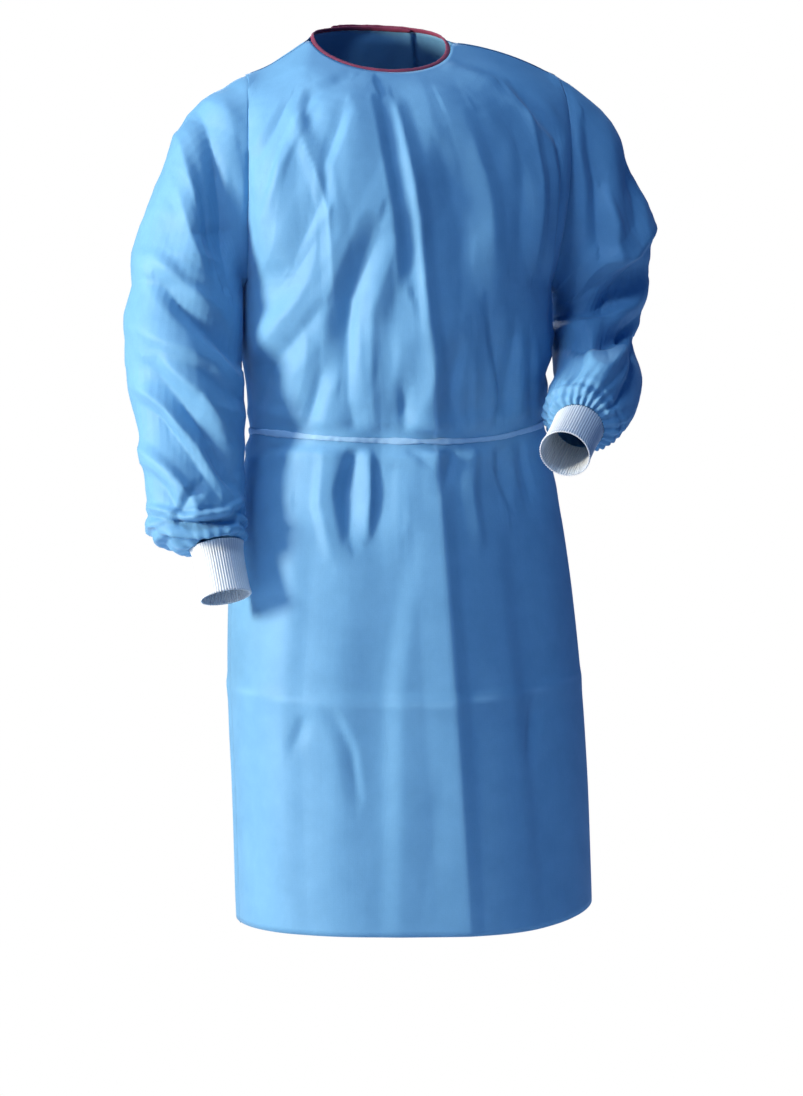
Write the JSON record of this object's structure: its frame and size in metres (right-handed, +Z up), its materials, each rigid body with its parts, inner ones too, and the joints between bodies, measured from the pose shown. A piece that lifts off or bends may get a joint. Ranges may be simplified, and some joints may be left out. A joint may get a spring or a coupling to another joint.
{
  "type": "surgical gown",
  "caption": "Long-sleeved surgical gown of pale blue non-woven cloth in its hollow worn form, with gathered wrists, knitted cuffs, a bound round neck, a lapped back and a knotted waist tie.",
  "frame": {"origin": "midway between the shoulders, level with the sides of the neck opening, where the wearer's shoulders hold the gown", "axes": "+Z up; the front faces -Y; the wearer's left is +X"},
  "size_m": [0.711, 0.4389, 1.1669],
  "materials": {
    "gown_cloth": "matt spunbond non-woven with a faint sheen",
    "knit_cuff": "matt rib knit",
    "neck_tape": "matt folded tape",
    "tie_tape": "matt non-woven tape"
  },
  "bodies": {
    "root": {"front": "gown_cloth", "back_left": "gown_cloth", "back_right": "gown_cloth", "sleeve_right": "gown_cloth", "sleeve_left": "gown_cloth", "cuff_right": "knit_cuff", "cuff_left": "knit_cuff", "neck_binding": "neck_tape", "waist_tie": "tie_tape", "tie_knot": "tie_tape", "tie_tail_left": "tie_tape", "tie_tail_right": "tie_tape"}
  },
  "joints": []
}
